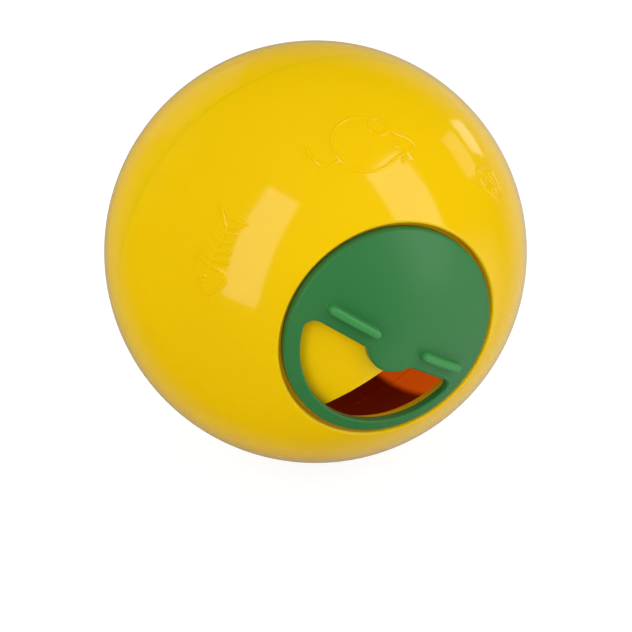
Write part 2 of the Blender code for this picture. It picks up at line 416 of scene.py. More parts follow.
def bead(name, points, rounded):
    """A bead along a stroke, whose points are in millimetres to the right and upward."""
    stroke = draw_line(name, [(up * MM, -right * MM, 0.0) for right, up in points])
    if not rounded:
        open_edit(stroke)
        bpy.ops.mesh.subdivide(number_cuts=STRAIGHT_CUTS)
        close_edit()
    lay_on_top(stroke, BEAD_SPHERE)
    pick(stroke)
    bpy.ops.object.convert(target="CURVE")
    if rounded:
        bpy.ops.object.mode_set(mode="EDIT")
        bpy.ops.curve.select_all(action="SELECT")
        bpy.ops.curve.spline_type_set(type="BEZIER")
        bpy.ops.curve.handle_type_set(type="AUTOMATIC")
        close_edit()
    stroke.data.resolution_u = BEAD_SMOOTHNESS
    stroke.data.bevel_depth = BEAD_RADIUS
    stroke.data.bevel_resolution = BEAD_SIDES
    stroke.data.use_fill_caps = True
    bpy.ops.object.convert(target="MESH")
    open_edit(stroke)
    bpy.ops.mesh.normals_make_consistent(inside=False)
    bpy.ops.mesh.quads_convert_to_tris()
    close_edit()
    return stroke


def join_strokes(name, strokes):
    """Join the strokes of a drawing to one closed shape."""
    drawing = strokes[0]
    drawing.name = name
    others = bpy.data.collections.new(name)
    for stroke in strokes[1:]:
        others.objects.link(stroke)
    modifier = drawing.modifiers.new("join", "BOOLEAN")
    modifier.operand_type = "COLLECTION"
    modifier.collection = others
    modifier.operation = "UNION"
    modifier.solver = "EXACT"
    apply_modifiers(drawing)
    for stroke in strokes[1:]:
        bpy.data.objects.remove(stroke, do_unlink=True)
    bpy.data.collections.remove(others)
    measure(drawing)
    return drawing


def ring(center, radius, count):
    """Points of a small circle, the first one repeated at the end."""
    angles = [math.tau * index / count for index in range(count + 1)]
    return [(center[0] + radius * math.cos(a), center[1] + radius * math.sin(a)) for a in angles]


# %% [markdown]
# The fish bone swims to the left. Its head is an open bow, its spine a straight line, its ribs
# slant back in pairs that get shorter, and its tail is a fork.

# %% The fish bone
SPINE_START = -2.6
SPINE_END = 4.2
SPINE_HEIGHT = 0.4
RIB_COUNT = 4
RIB_SHIFT = 0.6
RIB_SLANT = 1.0
LONGEST_RIB = 3.4
SHORTEST_RIB = 2.0


def draw_fish_bone():
    """The fish bone's strokes."""
    head = [(-3.0, 3.3), (-5.3, 1.9), (-7.6, -0.9), (-5.6, -3.0), (-3.4, -3.6), (-2.7, 0.2)]
    strokes = [bead("fish_head", head + head[:1], True)]
    strokes.append(bead("fish_eye", ring((-5.2, 0.1), EYE_RING, EYE_SIDES), True))
    spine = [(SPINE_START, SPINE_HEIGHT), (SPINE_END, SPINE_HEIGHT)]
    strokes.append(bead("fish_spine", spine, False))
    for index in range(RIB_COUNT):
        share = index / (RIB_COUNT - 1)
        foot = SPINE_START + (SPINE_END - SPINE_START) * (index + RIB_SHIFT) / RIB_COUNT
        reach = LONGEST_RIB + (SHORTEST_RIB - LONGEST_RIB) * share
        upper = [(foot, SPINE_HEIGHT), (foot + RIB_SLANT, SPINE_HEIGHT + reach)]
        lower = [(foot, SPINE_HEIGHT), (foot + RIB_SLANT, SPINE_HEIGHT - reach)]
        strokes.append(bead("fish_rib_up", upper, False))
        strokes.append(bead("fish_rib_down", lower, False))
    tail = [(SPINE_END, SPINE_HEIGHT), (7.1, 4.0), (6.1, 0.9), (6.8, -2.4), (SPINE_END, SPINE_HEIGHT)]
    strokes.append(bead("fish_tail", tail, False))
    return join_strokes("fish_bone", strokes)


fish_bone = draw_fish_bone()

# %% [markdown]
# The mouse looks to the right: a drop shaped body, an ear, an eye, whiskers and a curled tail.
# The whiskers are straight strokes, and all the others are rounded.

# %% The mouse


def draw_mouse():
    """The mouse's strokes."""
    body = [(8.2, -1.9), (4.9, 1.1), (1.2, 4.6), (-3.6, 4.4), (-6.2, 0.6), (-4.6, -4.2)]
    body += [(0.2, -5.6), (4.6, -3.6)]
    strokes = [bead("mouse_body", body + body[:1], True)]
    strokes.append(bead("mouse_ear", ring((2.9, 2.6), 1.7, ROUND_SIDES), True))
    strokes.append(bead("mouse_eye", ring((5.0, -1.3), EYE_RING, EYE_SIDES), True))
    tail = [(-5.6, -2.2), (-8.2, -3.0), (-10.2, -0.8), (-10.6, 1.6)]
    strokes.append(bead("mouse_tail", tail, True))
    for end in ((4.9, -4.9), (6.9, -4.6)):
        strokes.append(bead("mouse_whisker", [(6.3, -2.6), end], False))
    return join_strokes("mouse", strokes)


mouse = draw_mouse()

# %% [markdown]
# The cheese is a wedge with three holes, and smaller than the other two drawings. Its top is a
# triangle, and its front hangs from the triangle's long side.

# %% The cheese


def draw_cheese():
    """The cheese's strokes."""
    top = [(-3.9, -0.9), (-0.1, 2.4), (3.9, -0.4), (-3.9, -0.9)]
    strokes = [bead("cheese_top", top, False)]
    strokes.append(bead("cheese_front", [(-3.9, -0.9), (-3.7, -3.3), (3.7, -3.0), (3.9, -0.4)], False))
    for center, radius in (((-1.7, -2.1), 0.6), ((1.6, -1.9), 0.7), ((0.1, 0.7), 0.6)):
        strokes.append(bead("cheese_hole", ring(center, radius, ROUND_SIDES), True))
    return join_strokes("cheese", strokes)


cheese = draw_cheese()

# %% [markdown]
# The drawings were made on the top of the ball. Each is tilted from there to its place on the
# dome, turned about the shutter's axis, and joined to the front shell.

# %% Setting the drawings on the front shell
DRAWING_TILT = math.radians(56.0)


def set_drawing(drawing, turn):
    """Raise a drawing on the front shell, at a turn in degrees about the shutter's axis."""
    drawing.rotation_euler = (0.0, DRAWING_TILT, math.radians(turn))
    apply_place(drawing)
    combine(front_shell, drawing, "UNION")
    measure(front_shell)


set_drawing(fish_bone, 150.4)
set_drawing(mouse, 88.4)
set_drawing(cheese, 39.0)

# %% [markdown]
# The shutter is a dished disc as round as the ball, with a hollow post behind it that snaps
# through the collar. Its rim is rounded over to the dome, and the barb at the post's end holds
# it. The window is cut like the port, with a slightly larger round at its mouth.

# %% The shutter's disc and post
RIM_ROUND = 0.0006
RIM_WIDTH = 0.0024
WINDOW_OFFSET = 0.0032
HUB_REACH = 0.0025
WINDOW_CORNER = 0.0018
WINDOW_MOUTH_ROUND = 0.0005
BARB_TOP = COLLAR_END - FIT_GAP
POST_TIP = BARB_TOP - BARB_LAND - BARB_TAPER
POST_ROOT = dome_height(DISC_BACK, POST_RADIUS)


def shutter_section():
    """Section of the shutter, from the middle of its face to the root of its bore."""
    rim_radius = DISC_RADIUS - RIM_ROUND
    rim_height = dome_height(BALL_RADIUS - RIM_ROUND, rim_radius)
    rim_angle = math.atan2(rim_height, rim_radius)
    section = arc((0.0, 0.0), BALL_RADIUS, math.pi / 2, rim_angle, ARC_STEP)
    section += arc((rim_radius, rim_height), RIM_ROUND, rim_angle, 0.0, LIP_STEP)
    section += dome_arc(DISC_BACK, DISC_RADIUS, POST_RADIUS)
    section += [(POST_RADIUS, BARB_TOP), (BARB_RADIUS, BARB_TOP), (BARB_RADIUS, BARB_TOP - BARB_LAND)]
    section += [(BORE_RADIUS + TIP_WALL, POST_TIP), (BORE_RADIUS, POST_TIP)]
    section += [(BORE_RADIUS, POST_ROOT), (0.0, POST_ROOT)]
    return section


shutter = spin_section("shutter_skin", shutter_section())
window_outline = half_round_outline(
    outer=DISC_RADIUS - RIM_WIDTH,
    offset=WINDOW_OFFSET,
    lobe=WINDOW_OFFSET + HUB_REACH,
    fillet=OPENING_FILLET,
    corner=WINDOW_CORNER,
    grow=WINDOW_MOUTH_ROUND,
)
window_depth = DISC_THICKNESS + CUT_OVERRUN
window_cutter = opening_cutter(
    "window_cutter", window_outline, WINDOW_MOUTH_ROUND, BALL_RADIUS, window_depth
)
combine(shutter, window_cutter, "DIFFERENCE")
measure(shutter)

# %% [markdown]
# Two crossing slots part the post into four prongs that can bend inward as it snaps in. Each slot
# is a thin block that is cut away.

# %% The slots in the post


def cut_slot(turn):
    """Cut one slot through the post."""
    top = POST_ROOT - SLOT_ROOT
    bottom = POST_TIP - CUT_OVERRUN
    deselect_all()
    bpy.ops.mesh.primitive_cube_add(size=1.0, location=(0.0, 0.0, (top + bottom) / 2))
    slot = bpy.context.object
    slot.scale = (2 * (BARB_RADIUS + CUT_OVERRUN), SLOT_WIDTH, top - bottom)
    slot.rotation_euler.z = turn
    apply_place(slot)
    combine(shutter, slot, "DIFFERENCE")


cut_slot(math.pi / 4)
cut_slot(-math.pi / 4)
measure(shutter)

# %% [markdown]
# Two finger ridges stand on the disc, one on each side of the hub. A ridge grows from a long
# outline with round ends: it rises out of the disc in a hollow foot, tapers a little as every
# moulded wall does, and is rounded over at the top. It is sliced across so that it can be bent
# onto the dome, and the second one is a copy on the other side.

# %% The finger ridges
RIDGE_START = 0.0049
RIDGE_END_MARGIN = 0.0043
RIDGE_WIDTH = 0.0017
RIDGE_HEIGHT = 0.0018
RIDGE_FOOT = 0.00015
RIDGE_ROUND = 0.0006
RIDGE_TAPER = 0.0001
RIDGE_SINK = 0.0006
RIDGE_SLICES = 9


def ridge_outline(half_width):
    """Outline of a ridge, long along X with round ends."""
    inner = RIDGE_START + RIDGE_WIDTH / 2
    outer = DISC_RADIUS - RIDGE_END_MARGIN - RIDGE_WIDTH / 2
    quarter = math.pi / 2
    points = arc((outer, 0.0), half_width, -quarter, quarter, CORNER_STEP)
    points += arc((inner, 0.0), half_width, quarter, 3 * quarter, CORNER_STEP)
    return points + points[:1]


def make_ridge():
    """One finger ridge, standing on the dome."""
    outline = ridge_outline(RIDGE_WIDTH / 2 + RIDGE_FOOT)
    ridge = draw_line("ridge", [(x, y, -RIDGE_SINK) for x, y in outline])
    open_edit(ridge)
    bpy.ops.mesh.edge_face_add()
    rise = RIDGE_SINK - CUTTER_LIFT
    bpy.ops.mesh.extrude_region_move(TRANSFORM_OT_translate={"value": (0, 0, rise)})
    bpy.ops.mesh.select_all(action="SELECT")
    bpy.ops.mesh.normals_make_consistent(inside=False)
    select_faces(ridge, lambda face: face.normal.z > LEVEL_LIMIT)
    inset_along(quarter_round(RIDGE_FOOT, hollow=True))
    bpy.ops.mesh.inset(thickness=RIDGE_TAPER, depth=RIDGE_HEIGHT - RIDGE_FOOT - RIDGE_ROUND)
    inset_along(quarter_round(RIDGE_ROUND, hollow=False))
    start = min(x for x, y in outline)
    end = max(x for x, y in outline)
    for index in range(1, RIDGE_SLICES):
        place = start + (end - start) * index / RIDGE_SLICES
        bpy.ops.mesh.select_all(action="SELECT")
        bpy.ops.mesh.bisect(plane_co=(place, 0, 0), plane_no=(1, 0, 0))
    bpy.ops.mesh.select_all(action="SELECT")
    bpy.ops.mesh.quads_convert_to_tris()
    close_edit()
    for vertex in ridge.data.vertices:
        vertex.co.z += dome_height(BALL_RADIUS, vertex.co.xy.length)
    measure(ridge)
    return ridge


def add_ridge(turn):
    """Join one ridge to the shutter, turned about its axis."""
    ridge = make_ridge()
    ridge.rotation_euler.z = turn
    apply_place(ridge)
    combine(shutter, ridge, "UNION")


add_ridge(0.0)
add_ridge(math.pi)
measure(shutter)

# %% [markdown]
# All three pieces are now laid into place: the shutter is turned on its axis to where it stands
# over the port, and then every piece is tipped forward and lifted, so that the shutter's axis
# points to the front and the ball stands on the floor. Smooth shading follows, with an angle
# above which an edge stays sharp, and weighted normals keep the large dome faces true where the
# small faces of a cut or a bead meet them.

# %% Laying the pieces into place
SHARP_ANGLE = math.radians(32.0)
LARGE_FACE_WEIGHT = 100

shutter.rotation_euler.z = SHUTTER_TURN
apply_place(shutter)
for piece in (front_shell, rear_shell, shutter):
    piece.rotation_euler.x = math.pi / 2
    piece.location = BALL_CENTER
    apply_place(piece)
    pick(piece)
    bpy.ops.object.shade_smooth_by_angle(angle=SHARP_ANGLE)
    modifier = piece.modifiers.new("weighted_normals", "WEIGHTED_NORMAL")
    modifier.keep_sharp = True
    modifier.weight = LARGE_FACE_WEIGHT
    apply_modifiers(piece)

# %% [markdown]
# Moulded plastic is never quite even. Both colours share one group of nodes for that: broad soft
# clouds where the melt cooled at unlike speeds, which shift the tone and the gloss a little, and
# a fine grain and a slow ripple that bend the surface's normal. The group only puts out values,
# and each plastic has its own shader.

# %% A node group for moulded plastic
OBJECT_SPACE = "Object"
CLOUD_DETAIL = 3.0
BUMP_DETAIL = 2.0


def new_group(name, inputs, outputs):
    """A shader node group with named sockets."""
    group = bpy.data.node_groups.new(name, "ShaderNodeTree")
    for socket_name, socket_type, value in inputs:
        socket = group.interface.new_socket(name=socket_name, in_out="INPUT", socket_type=socket_type)
        socket.default_value = value
    for socket_name, socket_type in outputs:
        group.interface.new_socket(name=socket_name, in_out="OUTPUT", socket_type=socket_type)
    return group


def add_noise(tree, scale_from, detail):
    """A noise texture in object space, whose scale comes from another socket."""
    coordinates = tree.nodes.new("ShaderNodeTexCoord")
    noise = tree.nodes.new("ShaderNodeTexNoise")
    noise.inputs["Detail"].default_value = detail
    tree.links.new(coordinates.outputs[OBJECT_SPACE], noise.inputs["Vector"])
    tree.links.new(scale_from, noise.inputs["Scale"])
    return noise


def add_map(tree, source, low, high):
    """Map a value from 0 to 1 onto a range, whose ends are sockets or numbers."""
    node = tree.nodes.new("ShaderNodeMapRange")
    tree.links.new(source, node.inputs["Value"])
    for name, end in (("To Min", low), ("To Max", high)):
        if isinstance(end, float):
            node.inputs[name].default_value = end
        else:
            tree.links.new(end, node.inputs[name])
    return node.outputs["Result"]


def build_moulded_finish():
    """Tone, gloss and normal of moulded plastic."""
    group = new_group(
        "moulded_finish",
        [
            ("Light Tone", "NodeSocketColor", (1.0, 1.0, 1.0, 1.0)),
            ("Deep Tone", "NodeSocketColor", (0.5, 0.5, 0.5, 1.0)),
            ("Low Roughness", "NodeSocketFloat", 0.1),
            ("High Roughness", "NodeSocketFloat", 0.2),
            ("Cloud Scale", "NodeSocketFloat", 40.0),
            ("Ripple Scale", "NodeSocketFloat", 120.0),
            ("Ripple Height", "NodeSocketFloat", 0.00001),
            ("Grain Scale", "NodeSocketFloat", 6000.0),
            ("Grain Height", "NodeSocketFloat", 0.000002),
        ],
        [
            ("Color", "NodeSocketColor"),
            ("Roughness", "NodeSocketFloat"),
            ("Normal", "NodeSocketVector"),
        ],
    )
    entry = group.nodes.new("NodeGroupInput")
    leave = group.nodes.new("NodeGroupOutput")
    clouds = add_noise(group, entry.outputs["Cloud Scale"], CLOUD_DETAIL)
    tone = group.nodes.new("ShaderNodeMix")
    tone.data_type = "RGBA"
    group.links.new(clouds.outputs["Fac"], tone.inputs["Factor"])
    group.links.new(entry.outputs["Deep Tone"], tone.inputs["A"])
    group.links.new(entry.outputs["Light Tone"], tone.inputs["B"])
    group.links.new(tone.outputs["Result"], leave.inputs["Color"])
    gloss = add_map(
        group, clouds.outputs["Fac"], entry.outputs["Low Roughness"], entry.outputs["High Roughness"]
    )
    group.links.new(gloss, leave.inputs["Roughness"])
    normal = None
    for scale, height in (("Ripple Scale", "Ripple Height"), ("Grain Scale", "Grain Height")):
        texture = add_noise(group, entry.outputs[scale], BUMP_DETAIL)
        bump = group.nodes.new("ShaderNodeBump")
        group.links.new(entry.outputs[height], bump.inputs["Distance"])
        group.links.new(texture.outputs["Fac"], bump.inputs["Height"])
        if normal is not None:
            group.links.new(normal, bump.inputs["Normal"])
        normal = bump.outputs["Normal"]
    group.links.new(normal, leave.inputs["Normal"])
    return group


moulded_finish = build_moulded_finish()
print("node group", moulded_finish.name, "has", len(moulded_finish.nodes), "nodes")

# %% [markdown]
# Two smaller groups put out masks from 0 to 1. One grows along a direction, and the other grows
# with the distance from a point. They tell a material where on a piece it is.

# %% Node groups for masks


def build_mask(name, operation, vector_name):
    """A mask that ramps up between two values of a vector operation on the place."""
    group = new_group(
        name,
        [
            (vector_name, "NodeSocketVector", (0.0, 0.0, 0.0)),
            ("Start", "NodeSocketFloat", 0.0),
            ("End", "NodeSocketFloat", 1.0),
        ],
        [("Mask", "NodeSocketFloat")],
    )
    entry = group.nodes.new("NodeGroupInput")
    leave = group.nodes.new("NodeGroupOutput")
    place = group.nodes.new("ShaderNodeTexCoord")
    value = group.nodes.new("ShaderNodeVectorMath")
    value.operation = operation
    group.links.new(place.outputs[OBJECT_SPACE], value.inputs[0])
    group.links.new(entry.outputs[vector_name], value.inputs[1])
    ramp = group.nodes.new("ShaderNodeMapRange")
    ramp.interpolation_type = "SMOOTHSTEP"
    group.links.new(value.outputs["Value"], ramp.inputs["Value"])
    group.links.new(entry.outputs["Start"], ramp.inputs["From Min"])
    group.links.new(entry.outputs["End"], ramp.inputs["From Max"])
    group.links.new(ramp.outputs["Result"], leave.inputs["Mask"])
    return group


mask_along = build_mask("mask_along", "DOT_PRODUCT", "Direction")
mask_from = build_mask("mask_from", "DISTANCE", "Point")


def add_mask(tree, group, vector, start, end):
    """Add a mask group to a material and set where it starts and ends."""
    node = tree.nodes.new("ShaderNodeGroup")
    node.node_tree = group
    node.inputs[0].default_value = vector
    node.inputs["Start"].default_value = start
    node.inputs["End"].default_value = end
    return node.outputs["Mask"]


def add_tint(tree, share, first, second):
    """Mix two colours, each a socket or a constant, by a share from 0 to 1."""
    node = tree.nodes.new("ShaderNodeMix")
    node.data_type = "RGBA"
    tree.links.new(share, node.inputs["Factor"])
    for name, colour in (("A", first), ("B", second)):
        if isinstance(colour, tuple):
            node.inputs[name].default_value = colour
        else:
            tree.links.new(colour, node.inputs[name])
    return node.outputs["Result"]


# %% [markdown]
# The shell is polished yellow plastic, coloured all through. The moulds of such toys are
# polished, so its roughness is low, and a little subsurface scattering softens its shadows.
# Light that has crossed the wall or bounced inside has lost its blue and most of its green. The
# inside stands in for it with a painted deep orange tone and a painted glow, and a mask along one
# direction paints that glow brighter on one side, a painted pool of light. The upright walls of
# the pocket and the port get a painted dim yellow glow, less so deeper down, for the light that
# such plastic scatters at an edge. The shutter's mould was left satin, and a mask by distance
# paints the tops of its ridges paler: painted light, for the light that the ridges catch.

# %% The plastics
GLOSSY_IOR = 1.46
SCATTER_SHARE = 0.3
SCATTER_REACH = (1.0, 0.4, 0.05)
SCATTER_DEPTH = 0.0015
# Painted glow for the inside of the shell, brighter past a plane: a painted pool of light.
PAINTED_GLOW_DIRECTION = (1.0, 0.24, 0.0)
PAINTED_GLOW_START = 0.0159
PAINTED_GLOW_END = 0.0175
DIM_PAINTED_GLOW = (0.012, 0.0005, 0.0, 1.0)
STRONG_PAINTED_GLOW = (0.410, 0.050, 0.001, 1.0)
# Painted light on the ridge tops: a paler green above the dome.
RIDGE_LIGHT_START = BALL_RADIUS + 0.0001
RIDGE_LIGHT_END = BALL_RADIUS + 0.0012
RIDGE_PAINTED_LIGHT_GREEN = (0.048, 0.300, 0.072, 1.0)
# Painted glow on the upright cut edges, dimmer deeper down: painted light.
PAINTED_EDGE_GLOW = (0.120, 0.045, 0.004, 1.0)
DEEP_PAINTED_EDGE_GLOW = (0.035, 0.020, 0.003, 1.0)
DEEP_EDGE_END = FLOOR_OUTER + 0.0003


def new_plastic(name, values):
    """A plastic whose colour, roughness and normal come from the moulded finish."""
    material = bpy.data.materials.new(name)
    material.use_nodes = True
    tree = material.node_tree
    shader = tree.nodes["Principled BSDF"]
    shader.inputs["IOR"].default_value = GLOSSY_IOR
    finish = tree.nodes.new("ShaderNodeGroup")
    finish.node_tree = moulded_finish
    for socket_name, value in values.items():
        finish.inputs[socket_name].default_value = value
    tree.links.new(finish.outputs["Color"], shader.inputs["Base Color"])
    tree.links.new(finish.outputs["Roughness"], shader.inputs["Roughness"])
    tree.links.new(finish.outputs["Normal"], shader.inputs["Normal"])
    return material, shader


YELLOW_FINISH = {
    "Light Tone": (0.925, 0.598, 0.001, 1.0),
    "Deep Tone": (0.885, 0.555, 0.001, 1.0),
    "Low Roughness": 0.085,
    "High Roughness": 0.115,
    "Cloud Scale": 35.0,
    "Ripple Scale": 90.0,
    "Ripple Height": 0.00004,
    "Grain Scale": 5000.0,
    "Grain Height": 0.000001,
}

yellow_gloss, yellow_shader = new_plastic("yellow_gloss", YELLOW_FINISH)
yellow_shader.inputs["Subsurface Weight"].default_value = SCATTER_SHARE
yellow_shader.inputs["Subsurface Radius"].default_value = SCATTER_REACH
yellow_shader.inputs["Subsurface Scale"].default_value = SCATTER_DEPTH

# Painted light: the emission on the cut edges stands in for light scattered in the plastic.
yellow_edge_painted_glow, edge_shader = new_plastic("yellow_edge_painted_glow", YELLOW_FINISH)
edge_tree = yellow_edge_painted_glow.node_tree
painted_edge_glow_mask = add_mask(edge_tree, mask_from, BALL_CENTER, FLOOR_OUTER, DEEP_EDGE_END)
painted_edge_glow = add_tint(edge_tree, painted_edge_glow_mask, DEEP_PAINTED_EDGE_GLOW, PAINTED_EDGE_GLOW)
edge_tree.links.new(painted_edge_glow, edge_shader.inputs["Emission Color"])
edge_shader.inputs["Emission Strength"].default_value = 1.0

# Painted light: the deep orange tone and the emission stand in for light through the wall.
yellow_inside_painted_glow, inside_shader = new_plastic("yellow_inside_painted_glow", {
    "Light Tone": (0.250, 0.056, 0.002, 1.0),
    "Deep Tone": (0.220, 0.048, 0.002, 1.0),
    "Low Roughness": 0.3,
    "High Roughness": 0.4,
    "Cloud Scale": 35.0,
    "Ripple Scale": 90.0,
    "Ripple Height": 0.00002,
    "Grain Scale": 5000.0,
    "Grain Height": 0.000002,
})
inside_tree = yellow_inside_painted_glow.node_tree
# The mask paints the glow brighter on one side of a plane: a painted pool of light.
painted_glow_mask = add_mask(inside_tree, mask_along, PAINTED_GLOW_DIRECTION, PAINTED_GLOW_START, PAINTED_GLOW_END)
glow = add_tint(inside_tree, painted_glow_mask, DIM_PAINTED_GLOW, STRONG_PAINTED_GLOW)
inside_tree.links.new(glow, inside_shader.inputs["Emission Color"])
inside_shader.inputs["Emission Strength"].default_value = 1.0

green_satin, green_shader = new_plastic("green_satin", {
    "Light Tone": (0.031, 0.214, 0.052, 1.0),
    "Deep Tone": (0.026, 0.196, 0.045, 1.0),
    "Low Roughness": 0.34,
    "High Roughness": 0.42,
    "Cloud Scale": 60.0,
    "Ripple Scale": 150.0,
    "Ripple Height": 0.00003,
    "Grain Scale": 7000.0,
    "Grain Height": 0.000004,
})
green_tree = green_satin.node_tree
green_tone = green_shader.inputs["Base Color"].links[0].from_socket
# The ridge tops are painted paler: painted light, for the light that they catch.
ridge_painted_light_mask = add_mask(green_tree, mask_from, BALL_CENTER, RIDGE_LIGHT_START, RIDGE_LIGHT_END)
ridge_painted_light_tone = add_tint(green_tree, ridge_painted_light_mask, green_tone, RIDGE_PAINTED_LIGHT_GREEN)
green_tree.links.new(ridge_painted_light_tone, green_shader.inputs["Base Color"])

# %% [markdown]
# Each piece gets its plastic. On the shells, the faces that look at the ball's centre are the
# inside, and take the second material. The upright walls of the pocket and the port take the
# third. Then each piece is tied to the body that it moves with, and the node it stands for is hidden.

# %% Dressing the pieces
INSIDE_LIMIT = -0.3
STEEP_LIMIT = 0.55
EDGE_MARGIN = 0.0002


def is_cut_edge(face):
    """True for the upright walls of the pocket and of the port."""
    radius = math.hypot(face.center.x, face.center.z - BALL_CENTER.z)
    depth = (face.center - BALL_CENTER).length
    steep = abs(face.normal.y) < STEEP_LIMIT
    return steep and radius < POCKET_RADIUS + EDGE_MARGIN and depth > FLOOR_INNER - EDGE_MARGIN


def is_inside(face):
    """True for a face that looks at the ball's centre."""
    return face.normal.dot((face.center - BALL_CENTER).normalized()) < INSIDE_LIMIT


def dress_shell(shell):
    """Give a shell the glossy plastic outside, and the ones with a painted glow inside and on cut
    edges.
    """
    shell.data.materials.clear()
    for material in (yellow_gloss, yellow_inside_painted_glow, yellow_edge_painted_glow):
        shell.data.materials.append(material)
    counts = [0, 0, 0]
    for face in shell.data.polygons:
        face.material_index = 2 if is_cut_edge(face) else 1 if is_inside(face) else 0
        counts[face.material_index] += 1
    print(shell.name, "has faces outside, inside and on cut edges", counts)


dress_shell(front_shell)
dress_shell(rear_shell)
shutter.data.materials.clear()
shutter.data.materials.append(green_satin)

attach(front_shell, "ball")
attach(rear_shell, "ball")
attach(shutter, "shutter")
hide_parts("front_shell")
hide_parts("rear_shell")
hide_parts("shutter_disc")
for piece in (front_shell, rear_shell, shutter):
    measure(piece)

# %% [markdown]
# The camera looks from the front left and from above, through a long lens. It aims a little below
# the ball's centre, so that the ball stands in the upper part of the picture.

# %% Camera
CAMERA_AZIMUTH = math.radians(-22.83)
CAMERA_ELEVATION = math.radians(28.05)
CAMERA_DISTANCE = 0.8
CAMERA_LENS = 256.56
AIM_DROP = 0.0114
AIM_RIGHT = 0.00009

camera_back = Vector((
    math.sin(CAMERA_AZIMUTH) * math.cos(CAMERA_ELEVATION),
    -math.cos(CAMERA_AZIMUTH) * math.cos(CAMERA_ELEVATION),
    math.sin(CAMERA_ELEVATION),
))
camera_right = Vector((math.cos(CAMERA_AZIMUTH), math.sin(CAMERA_AZIMUTH), 0.0))
camera_up = camera_back.cross(camera_right)
aim = BALL_CENTER - camera_up * AIM_DROP + camera_right * AIM_RIGHT

deselect_all()
bpy.ops.object.camera_add(location=aim + camera_back * CAMERA_DISTANCE)
camera = bpy.context.object
camera.rotation_euler = camera_back.to_track_quat("Z", "Y").to_euler()
camera.data.lens = CAMERA_LENS
bpy.context.scene.camera = camera

# %% [markdown]
# Two tall softboxes stand in front, left and right. They give the long pale streaks on the dome.
# A narrow one behind the ball gives the streak near its right edge, and two weak cards widen it
# and veil the upper left. Three boxes that don't show in the gloss light the rest: one on each
# side from behind, for the rims, and a broad fill. Each light is placed by the direction from
# which the ball sees it, given to the right, up and towards the camera.

# %% Lights
NEAR = 0.5
FAR = 0.9


def seen_from_camera(direction):
    """Turn a direction given as right, up and towards the camera into one of the scene."""
    right, up, back = direction
    return (camera_right * right + camera_up * up + camera_back * back).normalized()


def add_softbox(name, start, end, width, distance, radiance, shows):
    """A rectangular light that spans from one direction to another, as the ball sees it."""
    first = seen_from_camera(start) * distance
    last = seen_from_camera(end) * distance
    middle = (first + last) / 2
    facing = middle.normalized()
    along = (first - last).normalized()
    along = (along - facing * along.dot(facing)).normalized()
    across = along.cross(facing)
    deselect_all()
    bpy.ops.object.light_add(type="AREA")
    box = bpy.context.object
    box.name = name
    box.matrix_world = Matrix((across, along, facing)).transposed().to_4x4()
    box.location = BALL_CENTER + middle
    box.data.shape = "RECTANGLE"
    box.data.size = width
    box.data.size_y = (first - last).length
    box.data.energy = radiance * math.pi * box.data.size * box.data.size_y
    box.visible_glossy = shows
    box.visible_camera = False
    return box


add_softbox("left_strip", (-0.268, 0.48, 0.835), (-0.625, -0.42, 0.66), 0.16, NEAR, 1.9, True)
add_softbox("right_strip", (0.50, 0.69, 0.515), (0.89, -0.22, 0.42), 0.20, NEAR, 1.95, True)
add_softbox("far_right_strip", (0.617, 0.59, -0.55), (0.742, 0.46, -0.52), 0.09, NEAR, 1.5, True)
add_softbox("far_right_card", (0.74, 0.67, -0.28), (0.89, 0.43, -0.28), 0.11, NEAR, 0.8, True)
add_softbox("upper_left_card", (-0.61, 0.46, -0.58), (-0.29, 0.72, -0.58), 0.25, NEAR, 0.12, True)
add_softbox("left_rim", (-0.58, 0.74, -0.40), (-0.84, 0.20, -0.50), 0.35, NEAR, 2.2, False)
add_softbox("right_rim", (0.62, 0.50, -0.60), (0.80, 0.0, -0.60), 0.35, NEAR, 0.8, False)
add_softbox("fill", (-0.6, 0.75, 0.6), (0.8, 0.5, 0.7), 0.9, FAR, 0.37, False)

# %% [markdown]
# The floor is a wide pale sheet, and the world behind it is white to the camera. The rays that
# light the ball find a pale floor and a grey world that is brighter behind the ball, so the ball
# is lit from below too. The rays of its gloss find both dark in front, which keeps the yellow
# deep. They find them pale behind the ball, which draws the pale edge all round it, and low on
# the right, which greys the satin shutter. One node group works out from a ray's direction how
# pale that is, for the floor and the world alike.

# %% Floor and world
FLOOR_SIZE = 12.0
FLOOR_TO_LIGHT = 0.85
FLOOR_TO_CAMERA = 0.18
FLOOR_GLOW = 0.91
WORLD_LIGHT_FRONT = 0.70
WORLD_LIGHT_BEHIND = 1.7
WORLD_TO_CAMERA = 1.0
BEHIND_START = 0.45
BEHIND_FULL = 0.92
SHEEN_LEFT = 0.25
SHEEN_RIGHT = 0.50
SIDE_LEFT = -0.1
SIDE_RIGHT = 0.4
LOW_RIGHT = (0.85, -0.52, -0.05)
LOW_RIGHT_START = 0.70
LOW_RIGHT_FULL = 0.95
LOW_RIGHT_SHEEN = 0.7


def blend(tree, share, first, second):
    """Mix two shaders by a share from 0 to 1."""
    node = tree.nodes.new("ShaderNodeMixShader")
    tree.links.new(share, node.inputs["Fac"])
    tree.links.new(first, node.inputs[1])
    tree.links.new(second, node.inputs[2])
    return node.outputs["Shader"]


def add_matte(tree, level):
    """A grey matte shader."""
    node = tree.nodes.new("ShaderNodeBsdfDiffuse")
    node.inputs["Color"].default_value = (level, level, level, 1.0)
    return node.outputs["BSDF"]


def add_ramp(tree, source, start, end):
    """Ramp a value smoothly from 0 at a start to 1 at an end."""
    node = tree.nodes.new("ShaderNodeMapRange")
    node.interpolation_type = "SMOOTHSTEP"
    node.inputs["From Min"].default_value = start
    node.inputs["From Max"].default_value = end
    tree.links.new(source, node.inputs["Value"])
    return node.outputs["Result"]


def add_dot(tree, source, direction):
    """The dot product of a vector and a fixed direction."""
    node = tree.nodes.new("ShaderNodeVectorMath")
    node.operation = "DOT_PRODUCT"
    node.inputs[1].default_value = direction
    tree.links.new(source, node.inputs[0])
    return node.outputs["Value"]


